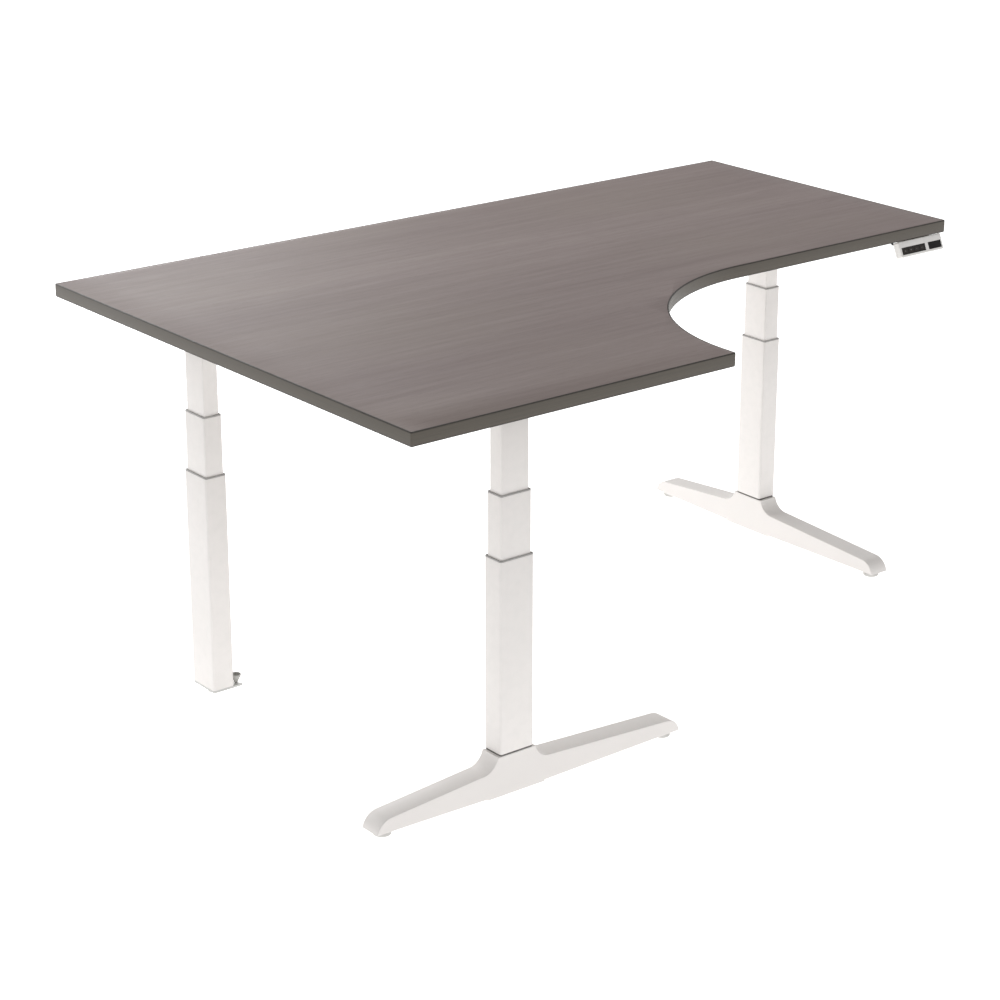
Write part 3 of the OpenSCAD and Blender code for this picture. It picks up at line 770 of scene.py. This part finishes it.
def motor(leg):
    """A round motor: flange, banded can and end cap with a cable boss."""
    node = leg + "_motor"
    low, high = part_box(node)
    axis = leg_axis(leg)
    middle = (low + high) / 2
    outwards = Vector((middle.x - axis.x, middle.y - axis.y, 0)).normalized()
    length = (high - low).dot(Vector((abs(outwards.x), abs(outwards.y), 0)))
    radius = (high.z - low.z) / 2
    origin = middle - outwards * length / 2
    flange, cap = 0.006, 0.012
    body_end = length - cap
    groove = 0.0008
    profile = [(0, 0), (radius - 0.0015, 0), (radius - 0.001, 0.0005), (radius - 0.001, flange - 0.0003),
               (radius - 0.0004, flange), (radius, flange + 0.0006)]
    for band in (0.018, 0.022, body_end - 0.022, body_end - 0.018):
        profile += [(radius, band - 0.0008), (radius - groove, band), (radius, band + 0.0008)]
    cap_r = radius - MOTOR_CAP_IN
    profile += [(radius, body_end - 0.001), (radius - 0.001, body_end), (cap_r, body_end),
                (cap_r, length - 0.0015), (cap_r - 0.0015, length), (0.009, length), (0.0085, length - 0.001),
                (0, length - 0.001)]
    show(finish_mesh(node + "_can", turned_bmesh(profile, on_axis(origin, outwards), 64), "motor", 30),
         "desk", "dark_plastic", node)


for leg_name in LEGS:
    telescope(leg_name)
    spindle(leg_name)
    motor(leg_name)
    softened(leg_name + "_drive_housing", "desk", "dark_metal", "casting", 0.0015)
    softened(leg_name + "_spindle_nut", leg_name + "_mid", "bronze", "bronze", 0.0006)

# ------------------------------------------------------------ feet


def foot_outline(leg):
    """Side view of a foot, anticlockwise, with the long arm to +X."""
    low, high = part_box(leg + "_foot")
    axis = leg_axis(leg)
    if LEGS[leg]:
        short, long = high.y - axis.y, axis.y - low.y
    else:
        short, long = axis.x - low.x, high.x - axis.x
    hub_x = TUBE[0] / 2 + 0.005
    sweep_x = hub_x + HUB_SWEEP
    nose_z = TIP_Z - 0.007
    centre_z = ARM_TOP + HUB_SWEEP
    hub_top = high.z

    def nose(x, flip):
        foot_angle = math.degrees(math.asin((TIP_Z - nose_z) / NOSE_RADIUS))
        points = arc((0, nose_z), NOSE_RADIUS, foot_angle, 90, 14)
        return [(x + flip * px, pz) for px, pz in (points if flip > 0 else reversed(points))]

    def sweep(side):
        """From the hub's top down to the arm."""
        at_top = math.degrees(math.asin((centre_z - hub_top) / HUB_SWEEP))
        points = arc((0, centre_z), HUB_SWEEP, 180 + at_top, 270, 16)
        return [(side * (sweep_x + px), pz) for px, pz in points]

    points = [(-PAD_X, low.z), (PAD_X, low.z), (PAD_X, ARM_Z)]
    points += nose(long - NOSE_RADIUS, 1)
    points += reversed(sweep(1))
    points += sweep(-1)
    points += nose(-short + NOSE_RADIUS, -1)
    points += [(-PAD_X, ARM_Z)]
    return points


def foot(leg):
    """Cast foot with soft rims, a well for the middle tube and threaded holes for the glides."""
    place = leg_place(leg)
    half = TUBE[1] / 2

    def sideways(u, v, w):
        return place(u, w, v)

    node = leg + "_foot"
    body = stacked(foot_outline(leg), edge_section(-half, half, 0.0018, 4), sideways, False)
    made = finish_mesh(node + "_casting", body, "powder", 28)
    well = round_rect(TUBE[0] - 2 * TUBE_STEP + 0.0018, TUBE[1] - 2 * TUBE_STEP + 0.0018, TUBE_ROUND)
    tube_floor, above_hub = 0.029, 0.12
    hole_r, hole_over = 0.00405, 0.003
    cutters = [finish_mesh("well", stacked(well, [(0, tube_floor), (0, above_hub)], place, False), "powder")]
    for glide in glides_of(leg):
        low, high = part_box(glide)
        middle = (low + high) / 2
        hole = [(0, -DRILL), (hole_r, -DRILL), (hole_r, high.z + hole_over), (0, high.z + hole_over)]
        drill = turned_bmesh(hole, on_axis((middle.x, middle.y, 0), (0, 0, 1)), 24)
        cutters.append(finish_mesh("hole", drill, "powder"))
    cut_out(made, cutters)
    shade(made.data, 28)
    show(made, leg + "_base", "white_powder", node)


def glides_of(leg):
    return {
        "front": ["front_foot_left_glide", "front_foot_right_glide"],
        "right": ["right_foot_front_glide", "right_foot_back_glide"],
        "corner": ["corner_glide"],
    }[leg]


def glide(node):
    """A levelling glide: nylon disc, hexagon and threaded stem."""
    low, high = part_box(node)
    middle = (low + high) / 2
    radius = (high.x - low.x) / 2
    corner = node == "corner_glide"
    disc_h = 0.007 if corner else 0.008
    neck_top = 0.012 if corner else 0.0108
    place = on_axis((middle.x, middle.y, 0), (0, 0, 1))
    disc = [(0, 0), (radius - 0.002, 0), (radius - 0.0006, 0.0006), (radius, 0.002), (radius, disc_h - 0.003),
            (radius - 0.0008, disc_h - 0.001), (radius - 0.003, disc_h), (0, disc_h)]
    show(finish_mesh(node + "_disc", turned_bmesh(disc, place), "glide"), node, "glide_nylon", node)

    across = 0.008
    hexagon = rounded([(across * math.cos(math.radians(60 * i)), across * math.sin(math.radians(60 * i)))
                       for i in range(6)], 0.0006, 2)
    nut = stacked(hexagon, edge_section(disc_h - 0.0005, neck_top, 0.0004, 2), place, False)
    crest, root, pitch = 0.0040, 0.0035, 0.0010
    stem = [(0, neck_top - 0.001), (0.0038, neck_top - 0.001)]
    z = neck_top
    while z < high.z - 0.0012:
        stem += [(crest, z), (crest, z + 0.0002), (root, z + 0.0006), (root, z + 0.0008)]
        z += pitch
    stem += [(0.0030, high.z), (0, high.z)]
    show(merged(node + "_stem", [nut, turned_bmesh(stem, place, 24)], "zinc", 30), node, "zinc_steel")


for leg_name in ("front", "right"):
    foot(leg_name)
    painted(leg_name + "_column_plate", "seal")
for leg_name in LEGS:
    for glide_name in glides_of(leg_name):
        glide(glide_name)

softened("corner_base", "corner_base", "base_grey", "base", 0.0008)
softened("cord_funnel", "corner_base", "base_grey", "funnel", 0.0003)

# ------------------------------------------------------------ underframe

for bracket_node in ("corner_bracket", "front_bracket", "right_bracket"):
    softened(bracket_node, "desk", "frame_steel", "frame", 0.0004, segments=1)
for rail_node in ("long_rails", "return_rails"):
    softened(rail_node, "desk", "frame_steel", "frame", 0.0006)
softened("control_box", "desk", "dark_plastic", "dark_plastic", 0.0010)
softened("control_box_lid", "desk", "dark_plastic", "dark_plastic", 0.0008)
softened("power_inlet", "desk", "dark_plastic", "black_rubber", 0.0002)
softened("cable_clips", "desk", "grey_plastic", "clip", 0.0005)


def islands(node):
    """Box of each separate solid in a CAD node, as (lowest corner, highest corner)."""
    bm = bmesh.new()
    bm.from_mesh(NODES[node].data)
    bmesh.ops.remove_doubles(bm, verts=bm.verts, dist=1e-6)
    seen = set()
    boxes = []
    for start in bm.verts:
        if start in seen:
            continue
        group = [start]
        seen.add(start)
        for vert in group:
            for edge in vert.link_edges:
                other = edge.other_vert(vert)
                if other not in seen:
                    seen.add(other)
                    group.append(other)
        corners = [[pick(v.co[axis] for v in group) for axis in range(3)] for pick in (min, max)]
        boxes.append((Vector(corners[0]), Vector(corners[1])))
    bm.free()
    return boxes


def screw_template(head_r, head_h, length, hexagonal):
    """A fastener, head down at z = 0: a domed head with a cross or a hexagon in it, and a threaded shank."""
    shank = 0.003 if hexagonal else 0.002
    root = shank * 0.82
    pitch = 0.0012
    profile = [(0, 0), (head_r * 0.55, 0), (head_r * 0.85, head_h * 0.18), (head_r * 0.98, head_h * 0.5),
               (head_r, head_h * 0.8), (head_r, head_h), (shank, head_h)]
    z = head_h + (0.012 if hexagonal else 0.005)
    while z < length - 0.002:
        profile += [(shank, z), (root, z + pitch * 0.4), (root, z + pitch * 0.6)]
        z += pitch
    profile += [(root, length - 0.0012), (0, length)]
    made = finish_mesh("template", turned_bmesh(profile, upright, 32), "zinc", 30)
    depth = head_h * 0.6
    if hexagonal:
        key_r = 0.0021
        socket = stacked(arc((0, 0), key_r, 0, 300, 5), [(0, -DRILL), (0, depth)], upright, False)
        cutters = [finish_mesh("socket", socket, "zinc")]
    else:
        arm, half, taper = head_r * 0.52, 0.00045, 0.0002
        cutters = []
        for x, y in ((arm, half), (half, arm)):
            slot = [(-x, -y), (x, -y), (x, y), (-x, y)]
            slot = stacked(slot, [(0, -DRILL), (taper, depth)], upright, False)
            cutters.append(finish_mesh("slot", slot, "zinc"))
    cut_out(made, cutters)
    shade(made.data, 30)
    return made


def screws():
    """Every fastener of the CAD node, each turned a little differently, as hand-driven ones are."""
    templates = {}
    whole = bmesh.new()
    for number, (low, high) in enumerate(islands("frame_screws")):
        head_r = (high.x - low.x) / 2
        hexagonal = head_r > 0.005
        key = round(head_r, 4), round(high.z - low.z, 4)
        if key not in templates:
            head_h = 0.003 if hexagonal else 0.0024
            templates[key] = screw_template(head_r, head_h, high.z - low.z, hexagonal)
        middle = (low + high) / 2
        turn = Matrix.Rotation(math.radians(37 * number), 4, "Z")
        scratch = templates[key].data.copy()
        scratch.transform(Matrix.Translation((middle.x, middle.y, low.z)) @ turn)
        whole.from_mesh(scratch)
        bpy.data.meshes.remove(scratch)
    for template in templates.values():
        bpy.data.objects.remove(template)
    show(finish_mesh("screw_heads", whole, "zinc", 30), "desk", "zinc_steel", "frame_screws")


screws()


def smooth_route(points, bend):
    """The route with each corner replaced by an arc-like bend."""
    points = [Vector(p) for p in points]
    out = [points[0]]
    for before, here, after in zip(points, points[1:], points[2:]):
        reach = min(bend, (before - here).length * 0.49, (after - here).length * 0.49)
        first = here + (before - here).normalized() * reach
        last = here + (after - here).normalized() * reach
        for k in range(9):
            t = k / 8
            out.append(first * (1 - t) ** 2 + here * 2 * t * (1 - t) + last * t * t)
    return out + [points[-1]]


def swept(points, radius, steps=12):
    """A bmesh tube along points."""
    bm = bmesh.new()
    side = None
    rings = []
    for i, point in enumerate(points):
        ahead = (points[min(i + 1, len(points) - 1)] - points[max(i - 1, 0)]).normalized()
        if side is None:
            side = ahead.orthogonal().normalized()
        side = (side - ahead * side.dot(ahead)).normalized()
        other = ahead.cross(side)
        rings.append([
            bm.verts.new(point + (side * math.cos(a) + other * math.sin(a)) * radius)
            for a in (2 * math.pi * k / steps for k in range(steps))
        ])
    for low, high in zip(rings, rings[1:]):
        for i in range(steps):
            j = (i + 1) % steps
            bm.faces.new((low[i], low[j], high[j], high[i]))
    bm.faces.new(list(reversed(rings[0])))
    bm.faces.new(rings[-1])
    return bm


def cables():
    """Leads from the motors and the handset to the control box, clipped under the board."""
    lid_low, lid_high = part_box("control_box_lid")
    rail_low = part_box("long_rails")[0]
    run_z = UNDER - 0.008
    dip_z = rail_low.z - 0.004
    clear = 0.010
    dip_y = (rail_low.y - clear, rail_low.y + RAIL_DEPTH + clear)
    left_end, right_end = lid_low.x, lid_high.x
    middle_y = (lid_low.y + lid_high.y) / 2
    lane = 0.015
    cap_half = 0.006
    sunk, side_sunk = 0.0005, 0.001

    low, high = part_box("corner_motor")
    cap_r = (high.z - low.z) / 2 - MOTOR_CAP_IN
    side_z = (low.z + high.z) / 2 + math.sqrt(cap_r ** 2 - (lane - CABLE_RADIUS) ** 2) - side_sunk
    x = high.x - cap_half
    corner = [(x, middle_y + lane, side_z), (x, middle_y + lane, run_z), (left_end, middle_y + lane, run_z)]
    low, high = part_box("right_motor")
    top = high.z - MOTOR_CAP_IN - sunk
    x = low.x + cap_half
    right = [(x, middle_y, top), (x, middle_y, run_z), (right_end, middle_y, run_z)]
    x = leg_axis("front").x
    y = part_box("front_motor")[1].y - cap_half
    front = [(x, y, top), (x, y, run_z), (x, dip_y[0], run_z), (x, dip_y[0], dip_z), (x, dip_y[1], dip_z),
             (x, dip_y[1], run_z), (left_end, dip_y[1], run_z)]
    parts = [swept(smooth_route(route, BEND), CABLE_RADIUS) for route in (corner, right, front)]
    show(merged("motor_leads", parts, "cable", 40), "desk", "cable_black", "motor_cables")

    exit_point = (SET_AT.x - 0.052, SET_AT.y + 0.008, UNDER - 0.016)
    turn_y = SET_AT.y + 0.034
    lane_y = SET_AT.y + 0.062
    x = 0.300               # the rails are crossed here
    route = [exit_point, (exit_point[0], turn_y, exit_point[2]), (exit_point[0], turn_y, run_z),
             (exit_point[0], lane_y, run_z), (x, lane_y, run_z), (x, dip_y[0], run_z), (x, dip_y[0], dip_z),
             (x, dip_y[1], dip_z), (x, dip_y[1], run_z), (right_end, dip_y[1], run_z)]
    lead = swept(smooth_route(route, BEND), CABLE_RADIUS)
    show(finish_mesh("handset_lead", lead, "cable", 40), "desk", "cable_black", "handset_cable")

    ends = [(corner[-1], 1), (front[-1], 1), (right[-1], -1), (route[-1], -1)]
    plugs = []
    for (px, py, pz), way in ends:
        shape = round_rect(0.0120, 0.0096, 0.0015, 3)
        boot = [(0, 0), (0.0002, 0.0002), (0, 0.0006), (0, 0.008), (0.0006, 0.0086), (0.0022, 0.014),
                (0.0028, 0.016)]
        plugs.append(stacked(shape, boot, on_axis((px, py, pz), (-way, 0, 0)), False))
    show(merged("cable_plugs", plugs, "black_rubber", 40), "desk", "dark_plastic")


# ------------------------------------------------------------ handset

SET_INSET = 0.009
SET_SETBACK = 0.005
SET_DROP = 0.002
SET_AT = Vector((band_high.x - SET_INSET - SET_SIZE[0] / 2, band_high.y - SIDE_DEPTH + SET_SETBACK,
                 UNDER - SET_DROP))
SET_TURN = Matrix.Translation(SET_AT) @ Matrix.Rotation(-SET_TILT, 4, "X")
KEYPAD_X = (-SET_SIZE[0] / 2 + 0.0045, -SET_SIZE[0] / 2 + 0.079)
DISPLAY_X = (SET_SIZE[0] / 2 - 0.0455, SET_SIZE[0] / 2 - 0.0045)


def on_face(u, v, w):
    """On the handset: u along it, v up its sloping face, w into it."""
    return SET_TURN @ Vector((u, w, v))


def window_cutter(span):
    left, right = span
    corner, before, behind = 0.0012, -0.002, 0.020
    shape = round_rect(right - left, WINDOW_H, corner, 4, ((left + right) / 2, WINDOW_Z))
    return finish_mesh("window", stacked(shape, [(0, before), (0, behind)], on_face, False), "silver")


def handset():
    outline = round_rect(SET_SIZE[0], SET_SIZE[1], SET_ROUND, 8, (0, -SET_SIZE[1] / 2))
    rim, steps = 0.0016, 5
    section = edge_section(0, SHELL_DEPTH, rim, steps)[:steps + 1] + [(0, SHELL_DEPTH)]
    shell = finish_mesh("handset_shell", stacked(outline, section, on_face, False), "silver", 40)
    wall = 0.0024
    cavity = stacked(inset(outline, wall), [(0, wall), (0, SHELL_DEPTH + DRILL)], on_face, False)
    cavity = finish_mesh("cavity", cavity, "silver")
    cut_out(shell, [cavity, window_cutter(KEYPAD_X), window_cutter(DISPLAY_X)])
    bevel = shell.modifiers.new("window_edges", "BEVEL")
    bevel.width = 0.00025
    bevel.segments = 2
    bevel.limit_method = "ANGLE"
    bevel.angle_limit = math.radians(60)
    apply_modifiers(shell)
    shade(shell.data, 40)
    show(shell, "desk", "silver_plastic", "handset_housing")
    softened("handset_back", "desk", "silver_plastic", "silver", 0.0005)
    painted("keypad_window", "keypad")
    painted("display_window", "display")
    for number, node in enumerate(("up_button", "down_button", "memory_button_1", "memory_button_2")):
        key(node, KEYPAD_X[0] + KEY_FIRST + number * KEY_STEP, number)


def key(node, middle, number):
    """A key with soft edges and a raised sign: an arrow up or down, one dot or two."""
    width, height = 0.014, 0.010
    front, collar_at, back = 0.0001, 0.0031, 0.0048
    cap = round_rect(width, height, 0.0011, 4, (middle, WINDOW_Z))
    skirt = round_rect(width + 0.0024, height + 0.002, 0.001, 4, (middle, WINDOW_Z))
    parts = [stacked(cap, edge_section(front, collar_at + 0.0003, 0.0004, 3), on_face, False),
             stacked(skirt, edge_section(collar_at, back, 0.0002, 1), on_face, False)]
    show(merged(node + "_cap", parts, "key", 40), node, "key_rubber", node)

    raised = 0.00008
    signs = []
    if number < 2:
        way = 1 if number == 0 else -1
        arrow = [(-0.0026, -0.0014 * way), (0.0026, -0.0014 * way), (0, 0.0018 * way)]
        if way < 0:
            arrow.reverse()
        signs.append([(middle + u, WINDOW_Z + v) for u, v in rounded(arrow, 0.0004, 3)])
    else:
        count = number - 1
        for k in range(count):
            at = (middle + (k - (count - 1) / 2) * 0.0032, WINDOW_Z)
            signs.append(arc(at, 0.0009, 0, 345, 23))
    parts = [stacked(sign, edge_section(front - raised, front + 0.0002, 0.00003, 1), on_face, False)
             for sign in signs]
    show(merged(node + "_sign", parts, "symbol", 40), node, "key_rubber")


handset()
cables()

# ------------------------------------------------------------ stage, light, camera

HORIZON = 0.75              # brightness of the surroundings at eye level
ZENITH = 0.52               # and overhead
FLOOR_REACH = 30
FLOOR_GLOW = 0.75
SOFTBOX_AT = (-0.2, 3.9, 2.0)
SOFTBOX_AIM = (-0.3, 0.2, 0.73)
SOFTBOX_SIZE = (4.2, 1.8)
SOFTBOX_POWER = 110
CAMERA_AT = (-3.4702, -4.0795, 2.2795)
CAMERA_TURN = (69.973, 0, -38.419)      # in degrees
LENS = 95.58                # millimetres, on a sensor 36 wide


def floor():
    bm = bmesh.new()
    bmesh.ops.create_grid(bm, x_segments=2, y_segments=2, size=FLOOR_REACH)
    mesh = bpy.data.meshes.new("floor")
    bm.to_mesh(mesh)
    bm.free()
    made = bpy.data.objects.new("floor", mesh)
    bpy.context.scene.collection.objects.link(made)
    surface = Surface("pale_floor", roughness=0.9)
    surface.shader.inputs["Base Color"].default_value = (0.93, 0.93, 0.93, 1)
    surface.shader.inputs["Emission Color"].default_value = (1, 1, 1, 1)
    surface.shader.inputs["Emission Strength"].default_value = FLOOR_GLOW
    mesh.materials.append(surface.material)


def area_light(name, at, aim, size, power):
    data = bpy.data.lights.new(name, "AREA")
    data.shape = "RECTANGLE"
    data.size, data.size_y = size
    data.energy = power
    made = bpy.data.objects.new(name, data)
    made.location = at
    made.rotation_euler = (Vector(aim) - Vector(at)).to_track_quat("-Z", "Y").to_euler()
    bpy.context.scene.collection.objects.link(made)


def studio():
    """White surroundings, dimmer overhead than at eye level, with a soft light behind the desk."""
    world = bpy.data.worlds.new("studio")
    world.use_nodes = True
    tree = world.node_tree
    direction = tree.nodes.new("ShaderNodeTexCoord").outputs["Generated"]
    split = tree.nodes.new("ShaderNodeSeparateXYZ")
    tree.links.new(direction, split.inputs[0])
    fade = tree.nodes.new("ShaderNodeMapRange")
    tree.links.new(split.outputs["Z"], fade.inputs["Value"])
    for socket, value in (("From Min", 0.0), ("From Max", 0.9), ("To Min", HORIZON), ("To Max", ZENITH)):
        fade.inputs[socket].default_value = value
    tree.links.new(fade.outputs["Result"], tree.nodes["Background"].inputs["Strength"])
    tree.nodes["Background"].inputs["Color"].default_value = (1, 1, 1, 1)
    bpy.context.scene.world = world
    area_light("back_softbox", SOFTBOX_AT, SOFTBOX_AIM, SOFTBOX_SIZE, SOFTBOX_POWER)
    bpy.context.scene.view_settings.view_transform = "Standard"
    bpy.context.scene.view_settings.look = "None"


def camera():
    data = bpy.data.cameras.new("camera")
    data.lens = LENS
    data.sensor_width = 36
    data.clip_end = 200
    made = bpy.data.objects.new("camera", data)
    made.location = CAMERA_AT
    made.rotation_euler = [math.radians(angle) for angle in CAMERA_TURN]
    bpy.context.scene.collection.objects.link(made)
    bpy.context.scene.camera = made


floor()
studio()
camera()

bpy.context.view_layer.update()
